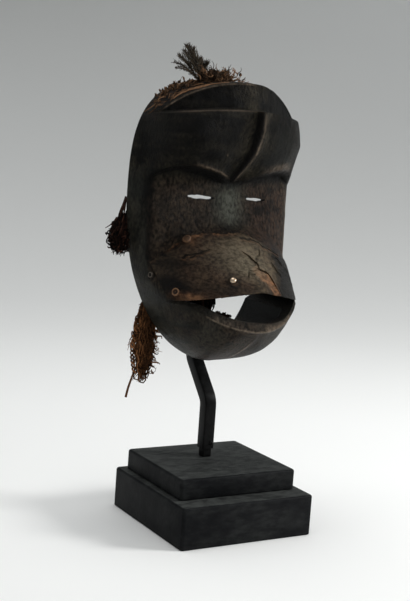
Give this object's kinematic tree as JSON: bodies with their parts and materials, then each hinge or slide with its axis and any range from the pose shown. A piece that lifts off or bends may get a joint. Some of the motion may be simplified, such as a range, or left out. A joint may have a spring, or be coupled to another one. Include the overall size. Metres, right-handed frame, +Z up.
{
  "type": "carved face mask on stand",
  "caption": "Hollow carved dark wood face mask with narrow eye slits, hide over the muzzle and open mouth, held by a bent square bar on a stepped black plinth.",
  "frame": {"origin": "centre of the plinth's underside", "axes": "+Z up, the mask's face looks along -Y, +X is the viewer's right when facing the mask"},
  "size_m": [0.1782, 0.13, 0.416],
  "materials": {
    "mask": "dark hand-carved wood, worn dull sheen",
    "muzzle_hide": "old cracked hide, matt",
    "nail_top": "tarnished domed head",
    "nail_muzzle": "polished domed head",
    "nail_lip": "tarnished ringed head",
    "nail_side": "rusted head",
    "feather_tuft": "dry dark feathers",
    "crest_fibre": "dry brown plant fibre",
    "ear_fibre": "black fibre",
    "tassel": "brown ragged fibre",
    "mouth_fibre": "black fibre",
    "mount_rod": "black satin steel bar",
    "base_post": "black satin steel post",
    "plinth_upper": "black satin paint",
    "plinth_lower": "black satin paint"
  },
  "bodies": {
    "root": {"mask": "mask", "muzzle_hide": "muzzle_hide", "nail_top": "nail_top", "nail_muzzle": "nail_muzzle", "nail_lip": "nail_lip", "nail_side": "nail_side", "feather_tuft": "feather_tuft", "crest_fibre": "crest_fibre", "ear_fibre": "ear_fibre", "tassel": "tassel", "mouth_fibre": "mouth_fibre", "mount_rod": "mount_rod", "base_post": "base_post", "plinth_upper": "plinth_upper", "plinth_lower": "plinth_lower"}
  },
  "joints": []
}
